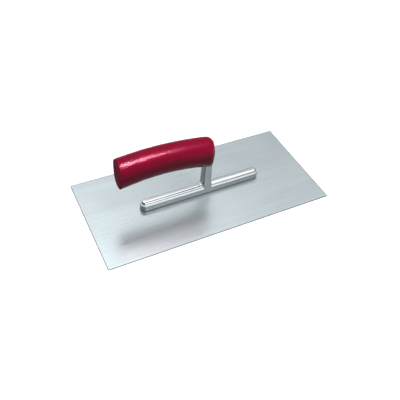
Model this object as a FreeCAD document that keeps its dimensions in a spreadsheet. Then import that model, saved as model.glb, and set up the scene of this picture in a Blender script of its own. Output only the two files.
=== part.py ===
import FreeCAD, Part
import os
import Sketcher
from FreeCAD import Vector

# A steel finishing trowel: a thin flat blade, a cast mounting riveted along its middle
# with one upright post, and an arched hand grip that a long screw pulls onto the post.
# Frame: origin at the middle of the blade's working face, +X along the blade towards
# the post's end of the grip, +Y across it, +Z up. Millimetres.

DIMENSIONS = [
    # alias, millimetres (or a count), meaning
    ("blade_length", 270, "blade along X"),
    ("blade_width", 130, "blade along Y"),
    ("blade_thickness", 0.7, "spring steel sheet"),
    ("blade_corner", 1.0, "deburred corners in plan"),
    ("bar_length", 150, "foot bar of the mounting along X, over its round ends"),
    ("bar_width", 12.6, "foot bar across"),
    ("bar_height", 11.3, "foot bar above the blade"),
    ("bar_rim", 5.0, "round along the bar's top rim"),
    ("rivet_count", 8, "rivets in one row"),
    ("rivet_pitch", 18, "rivet to rivet"),
    ("rivet_shank", 3.0, "shank diameter"),
    ("rivet_reach", 5.0, "shank inside the bar"),
    ("rivet_land", 0.1, "blade left above the countersink"),
    ("snug", 0.05, "gap all round a rivet, plug or screw that sits tight"),
    ("post_middle", 5.5, "post's middle from the blade's middle, along X"),
    ("post_length", 9.0, "post along X where it meets the grip"),
    ("post_depth", 10.6, "post across, where it meets the grip"),
    ("post_foot_length", 10.4, "post along X at the bar"),
    ("post_foot_inset", 0.1, "post's foot inside the bar's side, each side"),
    ("post_corner", 2.0, "round on the post's four upright edges"),
    ("post_straight", 9.0, "untapered height under the seat"),
    ("post_blend", 1.5, "hollow round where the post grows out of the bar"),
    ("tang_length", 6.4, "tang along X, inside the grip"),
    ("tang_depth", 9.6, "tang across"),
    ("tang_height", 19, "tang above the seat"),
    ("tang_corner", 1.2, "round on the tang's upright edges"),
    ("finger_gap", 37.0, "bar's top to the highest line of the grip's underside"),
    ("seat_depth", 2.8, "seat below the highest line of the grip's underside"),
    ("grip_length", 110.1, "grip along X"),
    ("grip_nose", 0.8, "grip beyond the post's face"),
    ("grip_width", 25.0, "grip across"),
    ("grip_height", 34.2, "grip, highest line of the underside to highest line of the back"),
    ("back_radius", 344, "bow of the grip's back"),
    ("back_crown", 11.1, "back's highest line from the grip's middle, towards the free end"),
    ("belly_radius", 198, "bow of the grip's underside"),
    ("belly_crown", 9.8, "underside's highest line from the grip's middle, same way"),
    ("nose_round", 9.0, "round on the nose's upright edges"),
    ("back_round", 8.0, "round along the back's rim"),
    ("belly_round", 6.0, "round along the underside's rim"),
    ("end_round", 0.8, "round on the free end's rim"),
    ("socket_gap", 0.15, "gap between the post or tang and the grip"),
    ("screw_height", 14, "screw's axis above the seat"),
    ("screw_shank", 6.0, "screw diameter"),
    ("screw_head", 10.0, "cylinder head diameter"),
    ("screw_head_height", 6.0, "cylinder head along its axis"),
    ("screw_key", 5.0, "hexagon socket across its flats"),
    ("screw_key_depth", 3.0, "hexagon socket depth"),
    ("screw_tip", 0.8, "screw's end short of the tang's far face"),
    ("bore_gap", 0.4, "gap round the screw inside the grip"),
    ("washer_outer", 12.5, "washer outside diameter"),
    ("washer_play", 0.2, "gap round the screw inside the washer"),
    ("washer_thickness", 1.2, "washer"),
    ("recess_gap", 0.55, "gap round the washer in the free end's counterbore"),
    ("plug_thickness", 4.0, "end plug"),
    ("plug_gap", 1.0, "air between the plug and the screw head"),
    ("plug_chamfer", 0.4, "plug's outer rim"),
]

doc = FreeCAD.newDocument("finishing_trowel")
sheet = doc.addObject("Spreadsheet::Sheet", "Sizes")


def fill_sheet():
    """Write every driving dimension into the sheet, one row each."""
    for row, (alias, value, meaning) in enumerate(DIMENSIONS, start=1):
        sheet.set("A%d" % row, meaning)
        sheet.set("B%d" % row, str(value))
        sheet.setAlias("B%d" % row, alias)
    doc.recompute()


class Size:
    """A length together with the sheet expression that gives it."""

    def __init__(self, value, text):
        self.value = float(value)
        self.text = text

    @staticmethod
    def of(other):
        return other if isinstance(other, Size) else Size(other, repr(float(other)))

    def __add__(self, other):
        other = Size.of(other)
        return Size(self.value + other.value, "(%s + %s)" % (self.text, other.text))

    def __sub__(self, other):
        other = Size.of(other)
        return Size(self.value - other.value, "(%s - %s)" % (self.text, other.text))

    def __mul__(self, factor):
        return Size(self.value * factor, "(%s * %r)" % (self.text, float(factor)))

    def __truediv__(self, divisor):
        return Size(self.value / divisor, "(%s / %r)" % (self.text, float(divisor)))

    def __neg__(self):
        return Size(-self.value, "(-1 * %s)" % self.text)

    def leg(self, other):
        """The other leg of the right triangle whose hypotenuse is this size."""
        other = Size.of(other)
        value = (self.value ** 2 - other.value ** 2) ** 0.5
        return Size(value, "sqrt(%s ^ 2 - %s ^ 2)" % (self.text, other.text))


fill_sheet()
ZERO = Size(0, "0")
S = {alias: Size(sheet.get(alias), "Sizes." + alias) for alias, _, _ in DIMENSIONS}

# Heights.
BLADE_TOP = S["blade_thickness"]
BAR_TOP = BLADE_TOP + S["bar_height"]
BELLY_TOP = BAR_TOP + S["finger_gap"]
BACK_TOP = BELLY_TOP + S["grip_height"]
SEAT = BELLY_TOP - S["seat_depth"]
SCREW_AXIS = SEAT + S["screw_height"]

# Places along X.
POST_LEFT = S["post_middle"] - S["post_length"] / 2
POST_RIGHT = S["post_middle"] + S["post_length"] / 2
TANG_LEFT = S["post_middle"] - S["tang_length"] / 2
TANG_RIGHT = S["post_middle"] + S["tang_length"] / 2
GRIP_RIGHT = POST_RIGHT + S["grip_nose"]
GRIP_LEFT = GRIP_RIGHT - S["grip_length"]
GRIP_MIDDLE = GRIP_RIGHT - S["grip_length"] / 2
FIRST_RIVET = -(S["rivet_pitch"] * ((S["rivet_count"].value - 1) / 2))
HEAD_OUTER = GRIP_LEFT + S["plug_thickness"] + S["plug_gap"]
HEAD_INNER = HEAD_OUTER + S["screw_head_height"]
RECESS_FLOOR = HEAD_INNER + S["washer_thickness"]

# Bores.
WASHER_HOLE = S["screw_shank"] + S["washer_play"] * 2
RECESS_BORE = S["washer_outer"] + S["recess_gap"] * 2

# The rivet's countersunk head fills the blade up to a thin land, at 90 degrees.
RIVET_HEAD_DEPTH = S["blade_thickness"] - S["rivet_land"]


# ---------------------------------------------------------------- helpers

def new_body(name):
    body = doc.addObject("PartDesign::Body", name)
    body.Label = name
    return body


def plane_of(body, role):
    return next(item for item in body.Origin.OriginFeatures if item.Role == role)


def new_sketch(body, name, role, x=ZERO, y=ZERO, out=ZERO):
    """A sketch on one of the body's own planes, moved by x and y in it and out along it."""
    sketch = body.newObject("Sketcher::SketchObject", name)
    sketch.AttachmentSupport = (plane_of(body, role), [""])
    sketch.MapMode = "FlatFace"
    for axis, offset in (("x", x), ("y", y), ("z", out)):
        if offset is not ZERO:
            sketch.setExpression("AttachmentOffset.Base." + axis, offset.text)
    return sketch


def dimension(sketch, size, kind, *where):
    """Add one driving constraint and bind it to the sheet."""
    index = sketch.addConstraint(Sketcher.Constraint(kind, *where, size.value))
    sketch.setExpression("Constraints[%d]" % index, size.text)


def pin(sketch, geometry, end, point):
    dimension(sketch, point[0], "DistanceX", geometry, end)
    dimension(sketch, point[1], "DistanceY", geometry, end)


def vector(point):
    return Vector(point[0].value, point[1].value, 0)


def draw_polygon(sketch, points):
    """Straight sides between the points, each point pinned to its two coordinates."""
    count = len(points)
    for start, end in zip(points, points[1:] + points[:1]):
        sketch.addGeometry(Part.LineSegment(vector(start), vector(end)), False)
    for side in range(count):
        following = (side + 1) % count
        sketch.addConstraint(Sketcher.Constraint("Coincident", side, 2, following, 1))
        pin(sketch, side, 1, points[side])


def draw_circle(sketch, diameter, centre=(ZERO, ZERO)):
    circle = Part.Circle(vector(centre), Vector(0, 0, 1), diameter.value / 2)
    sketch.addGeometry(circle, False)
    dimension(sketch, diameter, "Diameter", 0)
    pin(sketch, 0, 3, centre)


def draw_rectangle(sketch, left, right, half_width, corner):
    """A rectangle about the X axis with four equal rounded corners."""
    low = -half_width
    corners = [
        ((left, low + corner), (left + corner, low), (left + corner, low + corner)),
        ((right - corner, low), (right, low + corner), (right - corner, low + corner)),
        ((right, half_width - corner), (right - corner, half_width),
         (right - corner, half_width - corner)),
        ((left + corner, half_width), (left, half_width - corner),
         (left + corner, half_width - corner)),
    ]
    for index, (start, end, middle) in enumerate(corners):
        turn = Part.Circle(vector(middle), Vector(0, 0, 1), corner.value)
        first, last = turn.parameter(vector(start)), turn.parameter(vector(end))
        sketch.addGeometry(Part.ArcOfCircle(turn, first, last), False)
        dimension(sketch, corner, "Radius", 2 * index)
        pin(sketch, 2 * index, 3, middle)
        following = corners[(index + 1) % 4][0]
        sketch.addGeometry(Part.LineSegment(vector(end), vector(following)), False)
    for index in range(4):
        arc, line, next_arc = 2 * index, 2 * index + 1, (2 * index + 2) % 8
        sketch.addConstraint(Sketcher.Constraint("Tangent", arc, 2, line, 1))
        sketch.addConstraint(Sketcher.Constraint("Tangent", line, 2, next_arc, 1))


def draw_slot(sketch, length, width):
    """A slot about the origin along X: two straight sides and two half-round ends."""
    reach = (length - width) / 2
    half = width / 2
    for side in (1, -1):
        start = Vector(side * reach.value, -side * half.value, 0)
        middle = Vector(side * (reach.value + half.value), 0, 0)
        end = Vector(side * reach.value, side * half.value, 0)
        sketch.addGeometry(Part.Arc(start, middle, end), False)
        opposite = Vector(-side * reach.value, side * half.value, 0)
        sketch.addGeometry(Part.LineSegment(end, opposite), False)
        arc = sketch.GeometryCount - 2
        dimension(sketch, half, "Radius", arc)
        pin(sketch, arc, 3, (reach if side > 0 else -reach, ZERO))
    for arc, line, next_arc in ((0, 1, 2), (2, 3, 0)):
        sketch.addConstraint(Sketcher.Constraint("Tangent", arc, 2, line, 1))
        sketch.addConstraint(Sketcher.Constraint("Tangent", line, 2, next_arc, 1))


def pad(body, sketch, length, name, midplane=False):
    feature = body.newObject("PartDesign::Pad", name)
    feature.Profile = sketch
    feature.Midplane = midplane
    feature.setExpression("Length", length.text)
    return feature


def cut_down(body, sketch, name):
    """Cut against the sketch's normal, right through; it must take material away."""
    before = body.Shape.Volume
    feature = body.newObject("PartDesign::Pocket", name)
    feature.Profile = sketch
    feature.Type = "ThroughAll"
    doc.recompute()
    if not body.Shape.Volume < before:
        raise RuntimeError("%s cuts nothing from %s" % (name, body.Label))
    return feature


def revolve(body, sketch, name, axis="V_Axis", kind="Revolution"):
    feature = body.newObject("PartDesign::" + kind, name)
    feature.Profile = sketch
    feature.ReferenceAxis = (sketch, [axis])
    feature.Angle = 360
    return feature


def edge_names(shape, wanted):
    """The names of the shape's edges whose middle point and direction pass the test."""
    names = []
    for index, edge in enumerate(shape.Edges, start=1):
        middle = edge.valueAt((edge.FirstParameter + edge.LastParameter) / 2)
        if wanted(edge, middle):
            names.append("Edge%d" % index)
    if not names:
        raise RuntimeError("no edge to round")
    return names


def fillet(body, name, radius, wanted):
    doc.recompute()
    base = body.Tip
    feature = body.newObject("PartDesign::Fillet", name)
    feature.Base = (base, edge_names(base.Shape, wanted))
    feature.setExpression("Radius", radius.text)
    return feature


def row_of_rivets(body, feature, name):
    """Repeat a feature of the first rivet along the row."""
    pattern = body.newObject("PartDesign::LinearPattern", name)
    pattern.Originals = [feature]
    axis = next(item for item in body.Origin.OriginFeatures if item.Role == "X_Axis")
    pattern.Direction = (axis, [""])
    pattern.setExpression("Length", "Sizes.rivet_pitch * (Sizes.rivet_count - 1)")
    pattern.setExpression("Occurrences", "Sizes.rivet_count")
    body.Tip = pattern
    return pattern


def near(value, size):
    return abs(value - size.value) < 0.01


# ---------------------------------------------------------------- blade and mounting

def make_blade():
    """Flat rectangular sheet with a row of holes countersunk from the working face."""
    body = new_body("blade")
    outline = new_sketch(body, "blade_outline", "XY_Plane")
    half_length = S["blade_length"] / 2
    draw_rectangle(outline, -half_length, half_length, S["blade_width"] / 2, S["blade_corner"])
    pad(body, outline, S["blade_thickness"], "blade_sheet")

    doc.recompute()
    full = body.Shape.Volume
    section = new_sketch(body, "blade_hole_section", "XZ_Plane", x=FIRST_RIVET)
    draw_polygon(section, rivet_section(S["snug"], BLADE_TOP + S["blade_thickness"]))
    hole = revolve(body, section, "blade_hole", kind="Groove")
    row_of_rivets(body, hole, "blade_holes")
    doc.recompute()
    if not body.Shape.Volume < full:
        raise RuntimeError("the blade has no rivet holes")
    return body


def rivet_section(gap, top):
    """Half section of a rivet about its axis, grown by gap and cut off at top."""
    shank = S["rivet_shank"] / 2 + gap
    head = shank + RIVET_HEAD_DEPTH
    return [(ZERO, ZERO), (head, ZERO), (shank, RIVET_HEAD_DEPTH), (shank, top), (ZERO, top)]


def make_mounting():
    """One casting: foot bar, tapered post, and the tang that stands inside the grip."""
    body = new_body("mounting")
    bar = new_sketch(body, "bar_outline", "XY_Plane", out=BLADE_TOP)
    draw_slot(bar, S["bar_length"], S["bar_width"])
    pad(body, bar, S["bar_height"], "bar")
    fillet(body, "bar_rim", S["bar_rim"], lambda edge, middle: near(middle.z, BAR_TOP))

    foot_half = S["bar_width"] / 2 - S["post_foot_inset"]
    foot_level = BAR_TOP - S["bar_rim"]
    foot = new_sketch(body, "post_foot", "XY_Plane", out=foot_level)
    foot_left = S["post_middle"] - S["post_foot_length"] / 2
    foot_right = S["post_middle"] + S["post_foot_length"] / 2
    draw_rectangle(foot, foot_left, foot_right, foot_half, S["post_corner"])
    neck = new_sketch(body, "post_neck", "XY_Plane", out=SEAT - S["post_straight"])
    draw_rectangle(neck, POST_LEFT, POST_RIGHT, S["post_depth"] / 2, S["post_corner"])
    post = body.newObject("PartDesign::AdditiveLoft", "post")
    post.Profile = foot
    post.Sections = [neck]
    post.Ruled = True

    def at_foot(edge, middle):
        beside = abs(middle.x - S["post_middle"].value) < S["post_foot_length"].value / 2 + 0.1
        across = abs(middle.y) < foot_half.value
        return beside and across and foot_level.value < middle.z < BAR_TOP.value + 0.01

    fillet(body, "post_blend", S["post_blend"], at_foot)

    top = new_sketch(body, "post_top", "XY_Plane", out=SEAT - S["post_straight"])
    draw_rectangle(top, POST_LEFT, POST_RIGHT, S["post_depth"] / 2, S["post_corner"])
    pad(body, top, S["post_straight"], "post_upper")
    tang = new_sketch(body, "tang_outline", "XY_Plane", out=SEAT)
    draw_rectangle(tang, TANG_LEFT, TANG_RIGHT, S["tang_depth"] / 2, S["tang_corner"])
    pad(body, tang, S["tang_height"], "tang")
    doc.recompute()

    tapped = new_sketch(body, "tang_hole_outline", "YZ_Plane", y=SCREW_AXIS, out=TANG_RIGHT)
    draw_circle(tapped, S["screw_shank"] + S["snug"] * 2)
    cut_down(body, tapped, "tang_hole")

    rivet_hole = new_sketch(body, "bar_hole_outline", "XY_Plane", x=FIRST_RIVET,
                            out=BLADE_TOP + S["rivet_reach"])
    draw_circle(rivet_hole, S["rivet_shank"] + S["snug"] * 2)
    hole = cut_down(body, rivet_hole, "bar_hole")
    row_of_rivets(body, hole, "bar_holes")
    return body


def make_rivets():
    """Eight countersunk rivets in one row, each a solid of its own."""
    body = new_body("rivets")
    body.AllowCompound = True
    section = new_sketch(body, "rivet_section", "XZ_Plane", x=FIRST_RIVET)
    draw_polygon(section, rivet_section(ZERO, BLADE_TOP + S["rivet_reach"] - S["snug"]))
    rivet = revolve(body, section, "rivet")
    row_of_rivets(body, rivet, "rivet_row")
    return body


# ---------------------------------------------------------------- grip and its fixing

def draw_grip_side(sketch):
    """Side view of the grip: bowed back, bowed underside, upright free end and nose."""
    back_centre = (GRIP_MIDDLE - S["back_crown"], BACK_TOP - S["back_radius"])
    belly_centre = (GRIP_MIDDLE - S["belly_crown"], BELLY_TOP - S["belly_radius"])

    def on_arc(centre, radius, x):
        return Vector(x.value, (centre[1] + radius.leg(x - centre[0])).value, 0)

    def bow(centre, radius, first, last):
        circle = Part.Circle(vector(centre), Vector(0, 0, 1), radius.value)
        start = circle.parameter(on_arc(centre, radius, first))
        end = circle.parameter(on_arc(centre, radius, last))
        return Part.ArcOfCircle(circle, start, end)

    back = bow(back_centre, S["back_radius"], GRIP_RIGHT, GRIP_LEFT)
    belly = bow(belly_centre, S["belly_radius"], GRIP_RIGHT, GRIP_LEFT)
    sketch.addGeometry(back, False)
    sketch.addGeometry(Part.LineSegment(back.EndPoint, belly.EndPoint), False)
    sketch.addGeometry(belly, False)
    sketch.addGeometry(Part.LineSegment(belly.StartPoint, back.StartPoint), False)
    for joined in ((0, 2, 1, 1), (1, 2, 2, 2), (2, 1, 3, 1), (3, 2, 0, 1)):
        sketch.addConstraint(Sketcher.Constraint("Coincident", *joined))
    for arc, centre, radius in ((0, back_centre, S["back_radius"]),
                                (2, belly_centre, S["belly_radius"])):
        dimension(sketch, radius, "Radius", arc)
        pin(sketch, arc, 3, centre)
    for line, place in ((1, GRIP_LEFT), (3, GRIP_RIGHT)):
        sketch.addConstraint(Sketcher.Constraint("Vertical", line))
        dimension(sketch, place, "DistanceX", line, 1)


def make_grip():
    """Moulded hand grip: arched, rounded, bored along its length, socketed from below."""
    body = new_body("grip")
    side = new_sketch(body, "grip_side", "XZ_Plane")
    draw_grip_side(side)
    pad(body, side, S["grip_width"], "grip_block", midplane=True)

    half = S["grip_width"] / 2
    middle_level = (BELLY_TOP.value + BACK_TOP.value) / 2
    fillet(body, "grip_nose", S["nose_round"],
           lambda edge, middle: near(middle.x, GRIP_RIGHT) and near(abs(middle.y), half))

    def on_rim(edge, middle):
        along_end = near(middle.x, GRIP_LEFT)
        upright = abs(edge.tangentAt(edge.FirstParameter).z) > 0.9
        return not along_end and not upright

    fillet(body, "grip_back_rim", S["back_round"],
           lambda edge, middle: on_rim(edge, middle) and middle.z > middle_level)
    fillet(body, "grip_belly_rim", S["belly_round"],
           lambda edge, middle: on_rim(edge, middle) and middle.z < middle_level
           and (near(abs(middle.y), half) or near(middle.x, GRIP_RIGHT)))
    fillet(body, "grip_end_rim", S["end_round"],
           lambda edge, middle: near(middle.x, GRIP_LEFT))
    doc.recompute()

    gap = S["socket_gap"]
    recess = new_sketch(body, "post_recess_outline", "XY_Plane", out=SEAT)
    draw_rectangle(recess, POST_LEFT - gap, POST_RIGHT + gap, S["post_depth"] / 2 + gap,
                   S["post_corner"] + gap)
    cut_down(body, recess, "post_recess")
    socket = new_sketch(body, "tang_socket_outline", "XY_Plane",
                        out=SEAT + S["tang_height"] + gap)
    draw_rectangle(socket, TANG_LEFT - gap, TANG_RIGHT + gap, S["tang_depth"] / 2 + gap,
                   S["tang_corner"] + gap)
    cut_down(body, socket, "tang_socket")

    bore = new_sketch(body, "screw_bore_outline", "YZ_Plane", y=SCREW_AXIS, out=TANG_LEFT)
    draw_circle(bore, S["screw_shank"] + S["bore_gap"] * 2)
    cut_down(body, bore, "screw_bore")
    counterbore = new_sketch(body, "end_recess_outline", "YZ_Plane", y=SCREW_AXIS,
                             out=RECESS_FLOOR)
    draw_circle(counterbore, RECESS_BORE)
    cut_down(body, counterbore, "end_recess")
    return body


def make_handle_screw():
    """Long cylinder-head screw from the grip's free end into the tang."""
    body = new_body("handle_screw")
    section = new_sketch(body, "screw_section", "XZ_Plane", y=SCREW_AXIS)
    shank, head = S["screw_shank"] / 2, S["screw_head"] / 2
    tip = TANG_RIGHT - S["screw_tip"]
    draw_polygon(section, [(HEAD_OUTER, ZERO), (tip, ZERO), (tip, shank),
                           (HEAD_INNER, shank), (HEAD_INNER, head), (HEAD_OUTER, head)])
    revolve(body, section, "screw_turned", axis="H_Axis")
    doc.recompute()
    key = new_sketch(body, "screw_key_outline", "YZ_Plane", y=SCREW_AXIS,
                     out=HEAD_OUTER + S["screw_key_depth"])
    flat = S["screw_key"] / 2
    side = S["screw_key"] / 3 ** 0.5
    draw_polygon(key, [(side, ZERO), (side / 2, flat), (-(side / 2), flat),
                       (-side, ZERO), (-(side / 2), -flat), (side / 2, -flat)])
    cut_down(body, key, "screw_key")
    return body


def make_washer():
    """Flat washer between the screw head and the recess floor."""
    body = new_body("washer")
    ring = new_sketch(body, "washer_section", "XZ_Plane", y=SCREW_AXIS)
    inner, outer = WASHER_HOLE / 2, S["washer_outer"] / 2
    draw_polygon(ring, [(HEAD_INNER, inner), (RECESS_FLOOR, inner),
                        (RECESS_FLOOR, outer), (HEAD_INNER, outer)])
    revolve(body, ring, "washer_ring", axis="H_Axis")
    return body


def make_end_plug():
    """Round plug pressed into the recess, flush with the grip's free end."""
    body = new_body("end_plug")
    section = new_sketch(body, "plug_section", "XZ_Plane", y=SCREW_AXIS)
    radius = RECESS_BORE / 2 - S["snug"]
    inner = GRIP_LEFT + S["plug_thickness"]
    chamfer = S["plug_chamfer"]
    draw_polygon(section, [(GRIP_LEFT, ZERO), (inner, ZERO), (inner, radius),
                           (GRIP_LEFT + chamfer, radius), (GRIP_LEFT, radius - chamfer)])
    revolve(body, section, "plug_turned", axis="H_Axis")
    return body


# ---------------------------------------------------------------- build, test, write

def check_document():
    for item in doc.Objects:
        if "Invalid" in item.State or "Error" in item.State:
            raise RuntimeError("%s failed: %s" % (item.Name, item.State))


def check_shape(body, solids):
    shape = body.Shape
    if shape.isNull() or not shape.isValid():
        raise RuntimeError("%s has no valid shape" % body.Label)
    if len(shape.Solids) != solids:
        raise RuntimeError("%s has %d solids" % (body.Label, len(shape.Solids)))


def main():
    bodies = [make_blade(), make_mounting(), make_rivets(), make_grip(),
              make_handle_screw(), make_washer(), make_end_plug()]
    doc.recompute()
    check_document()
    for body in bodies:
        check_shape(body, int(S["rivet_count"].value) if body.Label == "rivets" else 1)
    os.makedirs("parts", exist_ok=True)
    for body in bodies:
        body.Shape.exportStep("parts/%s.step" % body.Label)
        box = body.Shape.BoundBox
        print("%-13s %9.1f mm3  x %7.2f %7.2f  y %6.2f %6.2f  z %5.2f %5.2f" % (
            body.Label, body.Shape.Volume, box.XMin, box.XMax, box.YMin, box.YMax,
            box.ZMin, box.ZMax))


main()
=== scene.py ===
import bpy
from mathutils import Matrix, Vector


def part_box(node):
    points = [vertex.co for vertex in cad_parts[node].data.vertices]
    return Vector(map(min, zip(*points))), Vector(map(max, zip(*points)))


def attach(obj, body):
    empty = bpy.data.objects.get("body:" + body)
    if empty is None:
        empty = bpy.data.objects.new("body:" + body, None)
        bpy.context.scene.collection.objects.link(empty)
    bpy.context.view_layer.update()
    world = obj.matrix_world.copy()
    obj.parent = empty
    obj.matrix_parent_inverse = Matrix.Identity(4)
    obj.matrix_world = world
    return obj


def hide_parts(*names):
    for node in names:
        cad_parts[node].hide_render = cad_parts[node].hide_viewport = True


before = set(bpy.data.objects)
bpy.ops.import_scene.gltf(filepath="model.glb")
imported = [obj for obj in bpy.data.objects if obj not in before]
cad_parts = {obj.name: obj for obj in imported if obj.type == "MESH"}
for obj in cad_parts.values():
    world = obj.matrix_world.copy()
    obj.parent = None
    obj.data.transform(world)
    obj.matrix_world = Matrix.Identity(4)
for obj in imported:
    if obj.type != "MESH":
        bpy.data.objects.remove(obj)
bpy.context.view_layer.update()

import math

import bmesh
import bpy
from bpy.props import FloatProperty, FloatVectorProperty, PointerProperty
from mathutils import Matrix, Vector

bl_info = {
    "name": "Finishing Trowel",
    "version": (1, 0, 0),
    "blender": (4, 5, 0),
    "location": "View3D > Sidebar > Trowel",
    "description": "Dresses a finishing trowel: ground blade, cast mounting and grained hand grip",
    "category": "Object",
}

MM = 0.001
BODY = "root"

# Blade and casting
SHEARED_RIM = 0.45 * MM             # dark, rough strip along the blade's cut edges
JOINT_SHADE = (0.7 * MM, 1.9 * MM)   # painted shade along the joint with the blade ends between these heights
WELD = 0.01 * MM                    # points nearer than this are one

# Grip
GRIP_SKIN = 0.04 * MM               # the grip stays inside its solid by this much
GRIP_HEIGHT = 34.2 * MM             # from the underside's crown to the back's
BACK_CROWN = 11.1 * MM              # highest point of the back, left of the grip's middle
BELLY_CROWN = 9.8 * MM              # highest point of the underside, left of the middle
PLUG_CLEARANCE = 0.05 * MM          # gap all round the plug in its recess
BORE_RADIUS = 3.4 * MM              # screw bore, hidden behind the plug
BORE_END = 2.3 * MM                 # X of the bore's floor
PLAIN_RIM = (7.2 * MM, 9.5 * MM)    # radii about the bore over which the grain sets in
ARCH_MIDDLE = -55.0 * MM            # X of the arch that the painted shade of the flanks follows
ARCH_BOW = 1.9                      # half that arch's curvature, per metre
FLANK_SHADE_TO_BACK = (64.0 * MM, 81.0 * MM)  # heights over which the flanks' painted shade turns into the back's lit red
SHADED_END = (0.4 * MM, 1.4 * MM)     # the free end's painted shade and matt finish fade out between these depths

FLOOR_DROP = 0.05 * MM              # the floor lies this much lower than the blade


# ---------------------------------------------------------------- node trees as expressions

class Wire:
    """A node's output that turns Python arithmetic into Math nodes of its own tree."""

    def __init__(self, tree, socket):
        self.tree = tree
        self.socket = socket

    def math(self, operation, *others, clamp=False):
        settings = {"operation": operation, "use_clamp": clamp}
        values = dict(enumerate((self,) + others))
        return self.tree.add("ShaderNodeMath", settings, values)

    def __add__(self, other):
        return self.math("ADD", other)

    def __sub__(self, other):
        return self.math("SUBTRACT", other)

    def __rsub__(self, other):
        return (self * -1.0) + other

    def __mul__(self, other):
        return self.math("MULTIPLY", other)

    def __truediv__(self, other):
        return self.math("DIVIDE", other)

    def __rtruediv__(self, other):
        return self.math("POWER", -1.0) * other

    def __pow__(self, other):
        return self.math("POWER", other)

    __radd__ = __add__
    __rmul__ = __mul__

    def clamped(self):
        return self.math("ADD", 0.0, clamp=True)

    def root(self):
        return self.math("SQRT")

    def absolute(self):
        return self.math("ABSOLUTE")

    def between(self, low, high):
        """0 below low, 1 above high, and a smooth step from one to the other."""
        settings = {"interpolation_type": "SMOOTHSTEP"}
        values = {"Value": self, "From Min": low, "From Max": high}
        return self.tree.add("ShaderNodeMapRange", settings, values)


class Tree:
    """A node tree with one method that adds any node and returns its output."""

    def __init__(self, tree):
        self.tree = tree

    def node(self, kind, settings=None, values=None):
        node = self.tree.nodes.new(kind)
        for name, value in (settings or {}).items():
            setattr(node, name, value)
        for name, value in (values or {}).items():
            socket = node.inputs[name]
            if isinstance(value, Wire):
                self.tree.links.new(value.socket, socket)
            else:
                socket.default_value = value
        return node

    def add(self, kind, settings=None, values=None, output=0):
        return Wire(self, self.node(kind, settings, values).outputs[output])

    def mix_colour(self, factor, first, second):
        node = self.node("ShaderNodeMix", {"data_type": "RGBA"}, {0: factor, 6: first, 7: second})
        return Wire(self, node.outputs[2])

    def vector(self, x, y, z):
        return self.add("ShaderNodeCombineXYZ", None, {0: x, 1: y, 2: z})

    def xyz(self, vector):
        """The three parts of a vector."""
        parts = self.node("ShaderNodeSeparateXYZ", None, {0: vector})
        return [Wire(self, output) for output in parts.outputs]


class Material(Tree):
    """A Principled material whose pattern is read from Object coordinates.

    The constants are named after the shader's sockets, with _ for a space.
    """

    def __init__(self, name, **constants):
        self.material = bpy.data.materials.new(name)
        self.material.use_nodes = True
        super().__init__(self.material.node_tree)
        self.surface = self.tree.nodes["Principled BSDF"]
        for socket, value in constants.items():
            self.surface.inputs[socket.replace("_", " ")].default_value = value
        self.place = self.add("ShaderNodeTexCoord", output=3)

    def stretched(self, x, y, z):
        """Object coordinates scaled along each axis, in pattern cells per metre."""
        return self.add("ShaderNodeMapping", None, {"Vector": self.place, "Scale": (x, y, z)})

    def noise(self, place, scale=1.0, detail=2.0, roughness=0.5):
        values = {"Vector": place, "Scale": scale, "Detail": detail, "Roughness": roughness}
        return self.add("ShaderNodeTexNoise", None, values)

    def cells(self, place, scale, feature="DISTANCE_TO_EDGE"):
        return self.add("ShaderNodeTexVoronoi", {"feature": feature},
                        {"Vector": place, "Scale": scale})

    def bump(self, height, strength, distance):
        values = {"Height": height, "Strength": strength, "Distance": distance}
        self.drive("Normal", self.add("ShaderNodeBump", None, values))

    def drive(self, socket, wire):
        self.tree.links.new(wire.socket, self.surface.inputs[socket])


def shade(colour, factor):
    """The colour made darker or lighter, with full alpha."""
    return tuple(channel * factor for channel in colour) + (1.0,)


# ---------------------------------------------------------------- settings

class TrowelSteelSettings(bpy.types.PropertyGroup):
    """Ground sheet steel of the blade and its rivets."""
    colour: FloatVectorProperty(
        name="Steel", description="Colour of the ground steel", subtype="COLOR",
        size=3, min=0.0, max=1.0, default=(0.68, 0.755, 0.785))
    roughness: FloatProperty(
        name="Roughness", description="Average roughness of the ground face",
        min=0.05, max=1.0, default=0.3)
    streak_width: FloatProperty(
        name="Streak Width", description="Width of one grinding streak across the blade",
        subtype="DISTANCE", unit="LENGTH", min=0.1 * MM, default=1.1 * MM)


class TrowelCastingSettings(bpy.types.PropertyGroup):
    """Tumbled aluminium casting of the foot bar and post."""
    colour: FloatVectorProperty(
        name="Aluminium", description="Colour of the casting", subtype="COLOR",
        size=3, min=0.0, max=1.0, default=(0.90, 0.94, 0.96))
    roughness: FloatProperty(
        name="Roughness", description="Average roughness of the casting",
        min=0.05, max=1.0, default=0.15)
    skin_cell: FloatProperty(
        name="Skin Cell", description="Mesh cell of the softened casting",
        subtype="DISTANCE", unit="LENGTH", min=0.2 * MM, default=0.4 * MM)


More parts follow.
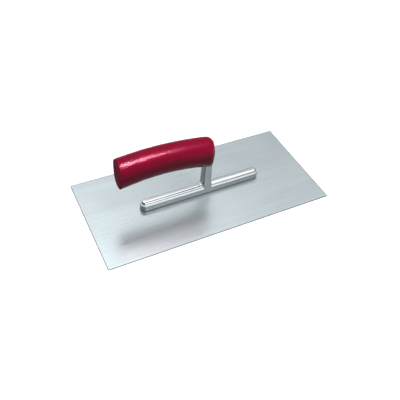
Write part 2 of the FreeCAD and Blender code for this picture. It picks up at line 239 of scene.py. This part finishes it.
class TrowelGripSettings(bpy.types.PropertyGroup):
    """Moulded hand grip: an arched, egg-shaped bar with a leather grain."""
    colour: FloatVectorProperty(
        name="Red", description="Colour of the grip", subtype="COLOR",
        size=3, min=0.0, max=1.0, default=(0.175, 0.002, 0.018))
    roughness: FloatProperty(
        name="Roughness", description="Average roughness of the plastic",
        min=0.05, max=1.0, default=0.17)
    back_radius: FloatProperty(
        name="Back Radius", description="Bow of the grip's back",
        subtype="DISTANCE", unit="LENGTH", default=344.0 * MM)
    belly_radius: FloatProperty(
        name="Belly Radius", description="Bow of the grip's underside",
        subtype="DISTANCE", unit="LENGTH", default=198.0 * MM)
    back_squareness: FloatProperty(
        name="Back Squareness", description="Exponent of the section's upper part",
        min=2.0, max=10.0, default=2.3)
    belly_squareness: FloatProperty(
        name="Belly Squareness", description="Exponent of the section's lower part",
        min=2.0, max=10.0, default=2.35)
    widest_level: FloatProperty(
        name="Widest Level", description="Height of the widest line, as a share of the section",
        min=0.3, max=0.7, default=0.58)
    nose_round: FloatProperty(
        name="Nose Round", description="Round of the nose, seen from above",
        subtype="DISTANCE", unit="LENGTH", default=9.0 * MM)
    nose_brow: FloatProperty(
        name="Nose Brow", description="Round of the nose where the back runs into it",
        subtype="DISTANCE", unit="LENGTH", default=5.5 * MM)
    nose_chin: FloatProperty(
        name="Nose Chin", description="Round of the nose where it meets the underside",
        subtype="DISTANCE", unit="LENGTH", default=1.2 * MM)
    end_round: FloatProperty(
        name="End Round", description="Round of the free end's rim",
        subtype="DISTANCE", unit="LENGTH", default=1.6 * MM)
    grain_depth: FloatProperty(
        name="Grain Depth", description="Depth of the moulded wrinkles",
        subtype="DISTANCE", unit="LENGTH", default=0.55 * MM)
    grain_cell: FloatProperty(
        name="Grain Cell", description="Size of one pebble of the grain",
        subtype="DISTANCE", unit="LENGTH", default=2.0 * MM)


class TrowelStageSettings(bpy.types.PropertyGroup):
    """Pale floor, soft studio light and the camera."""
    floor_colour: FloatVectorProperty(
        name="Floor", description="Colour of the floor", subtype="COLOR",
        size=3, min=0.0, max=1.0, default=(0.95, 0.95, 0.95))
    azimuth: FloatProperty(
        name="Azimuth", description="Camera's turn about the upright axis",
        subtype="ANGLE", unit="ROTATION", default=math.radians(-29.805))
    elevation: FloatProperty(
        name="Elevation", description="Camera above the horizon",
        subtype="ANGLE", unit="ROTATION", default=math.radians(46.03))
    roll: FloatProperty(
        name="Roll", description="Camera's turn about its own line of sight",
        subtype="ANGLE", unit="ROTATION", default=math.radians(5.0235))
    distance: FloatProperty(
        name="Distance", description="Camera from the point it looks at",
        subtype="DISTANCE", unit="LENGTH", default=606.42 * MM)
    aim: FloatVectorProperty(
        name="Aim", description="Point on the floor that the camera looks at",
        subtype="XYZ", unit="LENGTH", size=3, default=(-6.63 * MM, -12.47 * MM, 0.0))
    lens: FloatProperty(
        name="Lens", description="Focal length for a 36 mm wide sensor",
        unit="CAMERA", default=47.634)
    key_power: FloatProperty(
        name="Key Light", description="Power of the softbox that lights, but isn't mirrored",
        subtype="POWER", unit="POWER", min=0.0, default=13.0)
    glint_power: FloatProperty(
        name="Glint Light", description="Power of the softbox mirrored in the grip alone",
        subtype="POWER", unit="POWER", min=0.0, default=225.0)
    world_light: FloatProperty(
        name="World Light", description="Strength of the light from all round",
        min=0.0, default=1.0)


# ---------------------------------------------------------------- materials

def ground_steel(settings, name, lines_per_metre, half_length, half_width):
    """Steel ground along X: streaks, scratches, soft cloudy patches and a dark sheared rim."""
    steel = Material(name, Metallic=0.9)
    fine = steel.noise(steel.stretched(9.0, lines_per_metre, 400.0), detail=4.0, roughness=0.7)
    broad = steel.noise(steel.stretched(4.0, lines_per_metre / 7.0, 60.0), detail=3.0)
    clouds = steel.noise(steel.stretched(11.0, 17.0, 11.0), detail=3.0, roughness=0.55)
    scratches = steel.noise(steel.stretched(14.0, lines_per_metre * 1.7, 300.0), detail=1.0)
    scratches = scratches.between(0.70, 0.78)
    streaks = fine * 0.6 + broad * 0.4
    tone = (streaks - 0.5) * 0.9 + (clouds - 0.5) * 0.35 + 0.5 - scratches * 0.15
    colour = steel.mix_colour(tone.clamped(), shade(settings.colour, 0.78),
                              shade(settings.colour, 1.16))
    x, y, _ = steel.xyz(steel.place)
    short_rim = x.absolute().math("GREATER_THAN", half_length - SHEARED_RIM)
    long_rim = y.absolute().math("GREATER_THAN", half_width - SHEARED_RIM)
    rim = short_rim.math("MAXIMUM", long_rim)
    colour = steel.mix_colour(rim, colour, shade(settings.colour, 0.06))
    steel.drive("Base Color", colour)
    rough = (streaks - 0.5) * 0.22 + (clouds - 0.5) * 0.12 + settings.roughness
    steel.drive("Roughness", (rough + rim * 0.4).clamped())
    steel.bump(streaks - scratches * 0.3, strength=0.6, distance=0.16 * MM)
    return steel.material


def cast_aluminium_painted_shade(settings, joint_level):
    """Tumbled casting with ripples and pits, painted bright where it faces up and painted dark at
    its joint, as painted light and shade.

    The flanks get a darker colour as painted shade, and a painted shade line runs along the blade.
    """
    cast = Material("cast_aluminium_painted_shade", Metallic=1.0)
    ripple = cast.noise(cast.stretched(120.0, 160.0, 160.0), detail=3.0, roughness=0.6)
    grain = cast.noise(cast.stretched(1500.0, 1500.0, 1500.0), detail=3.0, roughness=0.7)
    pits = 1.0 - cast.cells(cast.stretched(420.0, 420.0, 420.0), 1.0, "F1").between(0.05, 0.16)
    # the pits are painted darker, as shade in them; ripple and grain vary the tone at random
    tone = (ripple - 0.5) * 0.8 + (grain - 0.5) * 0.5 + 0.6 - pits * 0.4
    colour = cast.mix_colour(tone.clamped(), shade(settings.colour, 0.80),
                             shade(settings.colour, 1.06))
    height = cast.xyz(cast.place)[2]
    # painted shade along the joint: a dark band just above the blade
    joint_shade = 1.0 - height.between(*(joint_level + level for level in JOINT_SHADE))
    # painted shade: faces that turn away from up get a darker colour, so the top reads bright
    upward = cast.xyz(cast.add("ShaderNodeNewGeometry", output=1))[2]
    shaded_flank = 1.0 - upward.between(0.15, 0.5)
    colour = cast.mix_colour(shaded_flank * 0.42, colour, shade(settings.colour, 0.2))
    cast.drive("Base Color", cast.mix_colour(joint_shade, colour, shade(settings.colour, 0.12)))
    rough = (ripple - 0.5) * 0.12 + (grain - 0.5) * 0.1 + pits * 0.15 + settings.roughness
    cast.drive("Roughness", rough.clamped())
    cast.bump(ripple * 1.4 + grain * 0.25 - pits * 0.3, strength=0.25, distance=0.12 * MM)
    return cast.material


def grained_plastic(settings, name, grain, end_x):
    """Glossy moulded red with leather-like pebbles, whose creases are painted darker, as shade,
    and duller.

    The flanks are painted a deeper red than the back as painted shade, and the free end is painted
    dark as shade and made matt.
    """
    red = Material(name, IOR=1.45, Specular_IOR_Level=0.1,
                   Specular_Tint=(1.0, 0.28, 0.4, 1.0))
    place = red.place
    warp = red.noise(place, 260.0, detail=2.0)
    bend = (1.2 * MM,) * 3
    bent = red.add("ShaderNodeVectorMath", {"operation": "MULTIPLY_ADD"},
                   {0: warp, 1: bend, 2: place})
    pebbles = red.cells(bent, 1.0 / settings.grain_cell).between(0.0, 0.28)
    pores = red.noise(place, 2600.0, detail=2.0, roughness=0.6)
    worn = red.noise(place, 60.0, detail=3.0, roughness=0.6)
    # the creases between pebbles are painted darker, as shade; worn and pores vary the red at
    # random
    tone = (pebbles * 0.45 + worn * 0.55 + (pores - 0.5) * 0.25).clamped()
    # painted light and shade: a lit red for the back and a painted-shade red for the flanks
    painted_lit_red = red.mix_colour(tone, shade(settings.colour, 0.78), shade(settings.colour, 1.2))
    painted_shade_red = red.mix_colour(tone, shade(settings.colour, 0.26), shade(settings.colour, 0.38))
    x, _, z = red.xyz(place)
    from_middle = x - ARCH_MIDDLE
    arched = z + from_middle * from_middle * ARCH_BOW
    colour = red.mix_colour(arched.between(*FLANK_SHADE_TO_BACK), painted_shade_red, painted_lit_red)
    # painted shade on the free end, which is also made matt
    shaded_matt_end = 1.0 - x.between(*(end_x + depth for depth in SHADED_END))
    red.drive("Base Color", red.mix_colour(shaded_matt_end, colour, shade(settings.colour, 0.48)))
    rough = (worn - 0.5) * 0.18 + (1.0 - pebbles) * 0.16 + (pores - 0.5) * 0.08
    red.drive("Roughness", (rough + settings.roughness + shaded_matt_end * 0.6).clamped())
    red.bump(pebbles * grain + pores * 0.12, strength=0.5, distance=0.1 * MM)
    return red.material


def zinc_plate():
    """Zinc-plated steel with a faint yellow bloom."""
    zinc = Material("zinc_plate", Metallic=1.0)
    bloom = zinc.noise(zinc.stretched(700.0, 700.0, 700.0), detail=3.0)
    zinc.drive("Base Color", zinc.mix_colour(bloom, (0.62, 0.63, 0.62, 1.0),
                                             (0.80, 0.80, 0.76, 1.0)))
    zinc.drive("Roughness", (bloom * 0.2 + 0.2).clamped())
    return zinc.material


def painted_floor(settings):
    """Matt pale floor with an even, barely visible tooth."""
    floor = Material("pale_floor", Roughness=0.9)
    tooth = floor.noise(floor.stretched(40.0, 40.0, 40.0), detail=4.0)
    floor.drive("Base Color", floor.mix_colour(tooth, shade(settings.floor_colour, 0.985),
                                               shade(settings.floor_colour, 1.01)))
    return floor.material


# ---------------------------------------------------------------- meshes

def paint(piece, material):
    """Give every slot of a piece one material."""
    piece.data.materials.clear()
    piece.data.materials.append(material)
    for polygon in piece.data.polygons:
        polygon.material_index = 0


def paint_node(name, material):
    """Give a kept solid's slots one material."""
    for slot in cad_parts[name].material_slots:
        slot.material = material


def link(name, data):
    """A new object in the scene."""
    piece = bpy.data.objects.new(name, data)
    bpy.context.scene.collection.objects.link(piece)
    return piece


def baked(piece, name):
    """The evaluated piece as a plain mesh object of its own; the source is removed."""
    graph = bpy.context.evaluated_depsgraph_get()
    mesh = bpy.data.meshes.new_from_object(piece.evaluated_get(graph))
    bpy.data.objects.remove(piece)
    mesh.name = name
    return link(name, mesh)


def smooth_but_creased(piece, degrees):
    """Smooth shading, but for edges that turn by more than this."""
    piece.data.shade_smooth()
    piece.data.set_sharp_from_angle(angle=math.radians(degrees))


def softened_casting(settings):
    """The casting's own solid, meshed evenly and relaxed so that every edge is soft."""
    piece = link("casting_source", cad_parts["mounting"].data.copy())
    weld = piece.modifiers.new("weld", "WELD")
    weld.merge_threshold = WELD
    remesh = piece.modifiers.new("skin", "REMESH")
    remesh.mode = "VOXEL"
    remesh.voxel_size = settings.skin_cell
    relax = piece.modifiers.new("relax", "SMOOTH")
    relax.factor = 0.5
    relax.iterations = 14
    casting = baked(piece, "cast_mounting")
    casting.data.shade_smooth()
    return casting


GRIP_SIZES = (
    "Left", "Right", "Half Width", "Back Top", "Back Crown", "Back Radius", "Belly Top",
    "Belly Crown", "Belly Radius", "Back Squareness", "Belly Squareness", "Widest Level",
    "Nose Round", "Nose Brow", "Nose Chin", "End Round", "Recess Radius", "Recess Depth",
    "Bore Radius", "Bore End", "Bore Height", "Grain Depth", "Grain Cell",
)

# Rows of points in each stretch of the profile line, from the bore's floor to the nose.
STRETCHES = {
    "bore_floor": 1, "bore_wall": 24, "recess_floor": 3, "recess_wall": 10, "shaded_matt_end": 12,
    "end_rim": 5, "length": 262, "nose": 26, "nose_face": 14,
}
AROUND = 236


def bow(x, top, crown, radius):
    """Height of an arc at x."""
    off = x - crown
    return top - radius + (radius * radius - off * off).root()


def nose_inset(x, right, radius):
    """How far a round at the nose has drawn in at x."""
    past = (x - (right - radius)).math("MAXIMUM", 0.0)
    return radius - (radius * radius - past * past).math("MAXIMUM", 0.0).root()


def grip_rows(tree, given):
    """The grip's closed shell: a grid bent into rings along a profile line.

    The line starts in the middle of the bore's floor and runs out through the bore and the
    recess, over the free end and its rim, along the back and round the nose.
    """
    rows = sum(STRETCHES.values()) + 1
    grid = tree.add("GeometryNodeMeshGrid", None,
                    {"Vertices X": rows, "Vertices Y": AROUND + 1})
    index = tree.add("GeometryNodeInputIndex")
    margin = 0.0001
    row = (index / (AROUND + 1.0) + margin).math("FLOOR")
    column = index - row * (AROUND + 1.0)

    share, start = {}, 0
    for name, count in STRETCHES.items():
        share[name] = ((row - float(start)) / float(count)).clamped()
        start += count

    quarter = math.pi / 2
    left, right = given["Left"], given["Right"]
    rim, nose = given["End Round"], given["Nose Round"]
    straight = right - left - rim - nose
    rim_turn, nose_turn = share["end_rim"] * quarter, share["nose"] * quarter
    x = (given["Bore End"]
         + (left + given["Recess Depth"] - given["Bore End"]) * share["bore_wall"]
         - given["Recess Depth"] * share["recess_wall"]
         + rim * (1.0 - rim_turn.math("COSINE"))
         + straight * share["length"]
         + nose * nose_turn.math("SINE"))
    rim_inset = rim * (1.0 - rim_turn.math("SINE"))
    closing = share["nose_face"]

    hole = (given["Bore Radius"] * share["bore_floor"]
            + (given["Recess Radius"] - given["Bore Radius"]) * share["recess_floor"])
    back = (bow(x, given["Back Top"], given["Back Crown"], given["Back Radius"])
            - rim_inset - nose_inset(x, right, given["Nose Brow"]))
    belly = (bow(x, given["Belly Top"], given["Belly Crown"], given["Belly Radius"])
             + rim_inset + nose_inset(x, right, given["Nose Chin"]))
    wide = (given["Half Width"] - rim_inset - nose_inset(x, right, nose)) * (1.0 - closing)
    widest = belly + (back - belly) * given["Widest Level"]

    turn = column * (2 * math.pi / AROUND)
    cosine, sine = turn.math("COSINE"), turn.math("SINE")
    upper = sine.math("GREATER_THAN", 0.0)
    power = (given["Back Squareness"] * upper
             + given["Belly Squareness"] * (1.0 - upper))
    reach = (cosine.absolute() ** power + sine.absolute() ** power) ** (-1.0 / power)
    above = (back - widest) * upper + (widest - belly) * (1.0 - upper)
    nose_shrink = 0.4
    side_y = wide * cosine * reach
    side_z = widest + above * (1.0 - closing * nose_shrink) * sine * reach

    mouth = 1.0 - share["shaded_matt_end"]
    y = side_y + (hole * cosine - side_y) * mouth
    z = side_z + (given["Bore Height"] + hole * sine - side_z) * mouth
    shaped = tree.add("GeometryNodeSetPosition", None,
                      {"Geometry": grid, "Position": tree.vector(x, y, z)})
    return tree.add("GeometryNodeMergeByDistance", None, {"Geometry": shaped, "Distance": WELD})


def moulded_grain(tree, given, shell):
    """Sink leather-like wrinkles into the shell, strongest near the free end.

    The shell's faces still point inwards here, so a positive offset sinks a point, and the
    mean depth keeps the wrinkles' crests from standing proud. The recess and its rim stay
    plain.
    """
    mean_depth = 0.6
    calmed_at_nose = 0.75
    position = tree.add("GeometryNodeInputPosition")
    normal = tree.add("GeometryNodeInputNormal")
    x, y, z = tree.xyz(position)
    per_metre = 1.0 / given["Grain Cell"]
    wander = tree.add("ShaderNodeTexNoise", None,
                      {"Vector": position, "Scale": per_metre * 0.3, "Detail": 2.0})
    pebble = tree.add("ShaderNodeTexVoronoi", {"feature": "SMOOTH_F1"},
                      {"Vector": position, "Scale": per_metre * 0.8, "Smoothness": 0.35})
    crease = tree.add("ShaderNodeTexNoise", None,
                      {"Vector": position, "Scale": per_metre * 0.45, "Detail": 3.0,
                       "Roughness": 0.6, "Distortion": 0.6})
    height = (wander - 0.5) * 0.7 - (pebble - 0.4) * 0.5 + (crease - 0.5) * 1.1
    along = (x - given["Left"]) / (given["Right"] - given["Left"])
    free_end = 1.0 - along.between(0.15, 0.7) * calmed_at_nose
    depth = (mean_depth - height * free_end) * given["Grain Depth"]
    lifted = z - given["Bore Height"]
    from_bore = (y * y + lifted * lifted).root()
    offset = tree.add("ShaderNodeVectorMath", {"operation": "SCALE"},
                      {0: normal, "Scale": depth * from_bore.between(*PLAIN_RIM)})
    return tree.add("GeometryNodeSetPosition", None, {"Geometry": shell, "Offset": offset})


def grip_tree():
    """Geometry nodes for the whole grip, with its sizes and material as named inputs."""
    group = bpy.data.node_groups.new("arched_grip", "GeometryNodeTree")
    for name in GRIP_SIZES:
        group.interface.new_socket(name, in_out="INPUT", socket_type="NodeSocketFloat")
    group.interface.new_socket("Material", in_out="INPUT", socket_type="NodeSocketMaterial")
    group.interface.new_socket("Geometry", in_out="OUTPUT", socket_type="NodeSocketGeometry")
    tree = Tree(group)
    entry = group.nodes.new("NodeGroupInput")
    given = {name: Wire(tree, entry.outputs[name]) for name in GRIP_SIZES + ("Material",)}
    grained = moulded_grain(tree, given, grip_rows(tree, given))
    real = tree.add("GeometryNodeRealizeInstances", None, {"Geometry": grained})
    coated = tree.add("GeometryNodeSetMaterial", None,
                      {"Geometry": real, "Material": given["Material"]})
    leave = group.nodes.new("NodeGroupOutput")
    group.links.new(coated.socket, leave.inputs[0])
    return group


def grown(piece, group, values, name):
    """Run a Geometry Nodes group on a piece with these inputs, and keep the plain mesh."""
    modifier = piece.modifiers.new(group.name, "NODES")
    modifier.node_group = group
    for item in group.interface.items_tree:
        if item.in_out == "INPUT" and item.name in values:
            modifier[item.identifier] = values[item.name]
    return baked(piece, name)


def outward(piece):
    """Point the faces of a closed shell outwards."""
    mesh = bmesh.new()
    mesh.from_mesh(piece.data)
    bmesh.ops.recalc_face_normals(mesh, faces=mesh.faces)
    mesh.to_mesh(piece.data)
    mesh.free()


# ---------------------------------------------------------------- stage

def build_floor(settings):
    """One large pale floor."""
    reach = 6.0
    sides = [(-reach, -reach), (reach, -reach), (reach, reach), (-reach, reach)]
    mesh = bpy.data.meshes.new("floor")
    mesh.from_pydata([(x, y, -FLOOR_DROP) for x, y in sides], [], [(0, 1, 2, 3)])
    floor = link("floor", mesh)
    paint(floor, painted_floor(settings))


def build_world(settings):
    """Soft sky in zones, each with a smooth border, that the steel mirrors.

    The left is dim. The open side is brighter, most of all overhead, and the front, the low
    ground all round and the horizon are pale.
    """
    world = bpy.data.worlds.new("studio")
    bpy.context.scene.world = world
    world.use_nodes = True
    tree = Tree(world.node_tree)
    x, y, z = tree.xyz(tree.add("ShaderNodeTexCoord", output=0))
    open_side = (x + y * 0.1).between(-0.35, -0.05)
    behind = y.between(0.0, 0.45) * z.between(0.15, 0.5)
    overhead = z.between(0.66, 0.9)
    facing = 1.0 - y.between(-0.9, -0.64)
    leftward = 1.0 - x.between(0.05, 0.45)
    opened = 0.1 + behind * 0.24 + overhead * 0.92
    level = 0.13 + open_side * opened * (1.0 + leftward * 0.62)
    elsewhere = 1.0 - open_side * y.between(-0.3, 0.0)
    low = (1.0 - z.between(0.35, 0.6)) * elsewhere * 0.5
    horizon = (1.0 - z.between(0.05, 0.18)) * 0.8
    level = level.math("MAXIMUM", low).math("MAXIMUM", horizon).math("MAXIMUM", facing * 0.95)
    background = world.node_tree.nodes["Background"]
    background.inputs["Color"].default_value = (0.97, 0.99, 1.0, 1.0)
    world.node_tree.links.new((level * settings.world_light).socket,
                              background.inputs["Strength"])


def softbox(name, place, aim, width, height, power):
    """A rectangular lamp at a place, turned to what it is aimed at."""
    light = bpy.data.lights.new(name, "AREA")
    light.shape = "RECTANGLE"
    light.size = width
    light.size_y = height
    light.energy = power
    lamp = link(name, light)
    lamp.location = place
    lamp.rotation_euler = (Vector(aim) - Vector(place)).to_track_quat("-Z", "Y").to_euler()
    return lamp


def build_lights(settings):
    """A key light that nothing mirrors, and a glint light that only the grip mirrors."""
    grip_middle = (-0.05, 0.0, 0.05)
    key = softbox("overhead_softbox", place=(0.08, -0.40, 1.10), aim=grip_middle,
                  width=0.34, height=0.16, power=settings.key_power)
    key.visible_glossy = False
    glint = softbox("glint_softbox", place=(0.02, -0.42, 1.10), aim=grip_middle,
                    width=0.36, height=0.46, power=settings.glint_power)
    glint.visible_diffuse = False
    dressed = bpy.data.collections.new("grip_and_plug")
    for name in ("moulded_grip", "end_plug"):
        dressed.objects.link(bpy.data.objects[name])
    glint.light_linking.receiver_collection = dressed


def build_camera(settings):
    """A camera that looks at a point on the floor from a given side and height."""
    data = bpy.data.cameras.new("camera")
    data.sensor_width = 36.0
    data.lens = settings.lens
    data.clip_start = 0.01
    camera = link("camera", data)
    azimuth, elevation = settings.azimuth, settings.elevation
    back = Vector((math.sin(azimuth) * math.cos(elevation),
                   -math.cos(azimuth) * math.cos(elevation), math.sin(elevation)))
    right = (-back).cross(Vector((0, 0, 1))).normalized()
    up = right.cross(-back)
    turn = Matrix.Rotation(settings.roll, 3, back)
    right, up = turn @ right, turn @ up
    place = Matrix((right, up, back)).transposed().to_4x4()
    place.translation = Vector(settings.aim) + back * settings.distance
    camera.matrix_world = place
    bpy.context.scene.camera = camera


# ---------------------------------------------------------------- operators

class TROWEL_OT_blade(bpy.types.Operator):
    """Finish the ground steel blade and the rivet heads ground flush with it"""
    bl_idname = "trowel.blade"
    bl_label = "Blade and Rivets"

    def execute(self, context):
        steel = context.scene.trowel_steel
        lines = 1.0 / steel.streak_width
        rivet_lines = lines * 0.6
        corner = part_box("blade")[1]
        half = (corner.x, corner.y)
        paint_node("blade", ground_steel(steel, "ground_blade_steel", lines, *half))
        paint_node("rivets", ground_steel(steel, "ground_rivet_steel", rivet_lines, *half))
        return {"FINISHED"}


class TROWEL_OT_mounting(bpy.types.Operator):
    """Make the casting of foot bar and post with softened edges"""
    bl_idname = "trowel.mounting"
    bl_label = "Cast Mounting"

    def execute(self, context):
        settings = context.scene.trowel_casting
        casting = softened_casting(settings)
        joint_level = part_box("mounting")[0].z
        paint(casting, cast_aluminium_painted_shade(settings, joint_level))
        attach(casting, BODY)
        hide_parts("mounting")
        return {"FINISHED"}


class TROWEL_OT_grip(bpy.types.Operator):
    """Make the arched hand grip with its moulded grain"""
    bl_idname = "trowel.grip"
    bl_label = "Hand Grip"

    def execute(self, context):
        settings = context.scene.trowel_grip
        low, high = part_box("grip")
        plug_low, plug_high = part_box("end_plug")
        recess_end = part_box("washer")[1].x
        middle = (low.x + high.x) / 2
        plastic = grained_plastic(settings, "grained_red_plastic", grain=1.0, end_x=low.x)
        source = link("grip_source", bpy.data.meshes.new("grip_source"))
        grip = grown(source, grip_tree(), {
            "Left": low.x, "Right": high.x, "Half Width": high.y - GRIP_SKIN,
            "Back Top": high.z - GRIP_SKIN, "Back Crown": middle - BACK_CROWN,
            "Back Radius": settings.back_radius,
            "Belly Top": high.z - GRIP_HEIGHT, "Belly Crown": middle - BELLY_CROWN,
            "Belly Radius": settings.belly_radius,
            "Back Squareness": settings.back_squareness,
            "Belly Squareness": settings.belly_squareness,
            "Widest Level": settings.widest_level, "Nose Round": settings.nose_round,
            "Nose Brow": settings.nose_brow, "Nose Chin": settings.nose_chin,
            "End Round": settings.end_round,
            "Recess Radius": (plug_high.z - plug_low.z) / 2 + PLUG_CLEARANCE,
            "Recess Depth": recess_end - low.x,
            "Bore Radius": BORE_RADIUS, "Bore End": BORE_END,
            "Bore Height": (plug_high.z + plug_low.z) / 2,
            "Grain Depth": settings.grain_depth, "Grain Cell": settings.grain_cell,
            "Material": plastic,
        }, "moulded_grip")
        outward(grip)
        smooth_but_creased(grip, degrees=40)
        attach(grip, BODY)
        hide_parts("grip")
        smoother = grained_plastic(settings, "plain_red_plastic", grain=0.2, end_x=low.x)
        paint_node("end_plug", smoother)
        return {"FINISHED"}


class TROWEL_OT_fixings(bpy.types.Operator):
    """Finish the screw and washer inside the grip"""
    bl_idname = "trowel.fixings"
    bl_label = "Screw and Washer"

    def execute(self, context):
        zinc = zinc_plate()
        paint_node("handle_screw", zinc)
        paint_node("washer", zinc)
        return {"FINISHED"}


class TROWEL_OT_stage(bpy.types.Operator):
    """Set up the pale floor, the studio light and the camera"""
    bl_idname = "trowel.stage"
    bl_label = "Stage"

    def execute(self, context):
        settings = context.scene.trowel_stage
        build_floor(settings)
        build_world(settings)
        build_lights(settings)
        build_camera(settings)
        context.scene.view_settings.view_transform = "Standard"
        return {"FINISHED"}


# ---------------------------------------------------------------- panel and registration

class TROWEL_PT_panel(bpy.types.Panel):
    """Lists the trowel's pieces and its stage"""
    bl_idname = "TROWEL_PT_panel"
    bl_label = "Finishing Trowel"
    bl_space_type = "VIEW_3D"
    bl_region_type = "UI"
    bl_category = "Trowel"

    def draw(self, context):
        for operator in OPERATORS:
            self.layout.operator(operator.bl_idname)
        for name in SETTINGS:
            group = getattr(context.scene, name)
            box = self.layout.box()
            for prop in group.bl_rna.properties:
                if prop.identifier not in ("rna_type", "name"):
                    box.prop(group, prop.identifier)


OPERATORS = (TROWEL_OT_stage, TROWEL_OT_blade, TROWEL_OT_mounting, TROWEL_OT_grip,
             TROWEL_OT_fixings)
SETTINGS = {
    "trowel_steel": TrowelSteelSettings,
    "trowel_casting": TrowelCastingSettings,
    "trowel_grip": TrowelGripSettings,
    "trowel_stage": TrowelStageSettings,
}


def register():
    for group in SETTINGS.values():
        bpy.utils.register_class(group)
    for name, group in SETTINGS.items():
        setattr(bpy.types.Scene, name, PointerProperty(type=group))
    for operator in OPERATORS:
        bpy.utils.register_class(operator)
    bpy.utils.register_class(TROWEL_PT_panel)


def unregister():
    bpy.utils.unregister_class(TROWEL_PT_panel)
    for operator in reversed(OPERATORS):
        bpy.utils.unregister_class(operator)
    for name in SETTINGS:
        delattr(bpy.types.Scene, name)
    for group in reversed(list(SETTINGS.values())):
        bpy.utils.unregister_class(group)


def main():
    register()
    bpy.ops.trowel.blade()
    bpy.ops.trowel.mounting()
    bpy.ops.trowel.grip()
    bpy.ops.trowel.fixings()
    bpy.ops.trowel.stage()


if __name__ == "__main__":
    main()
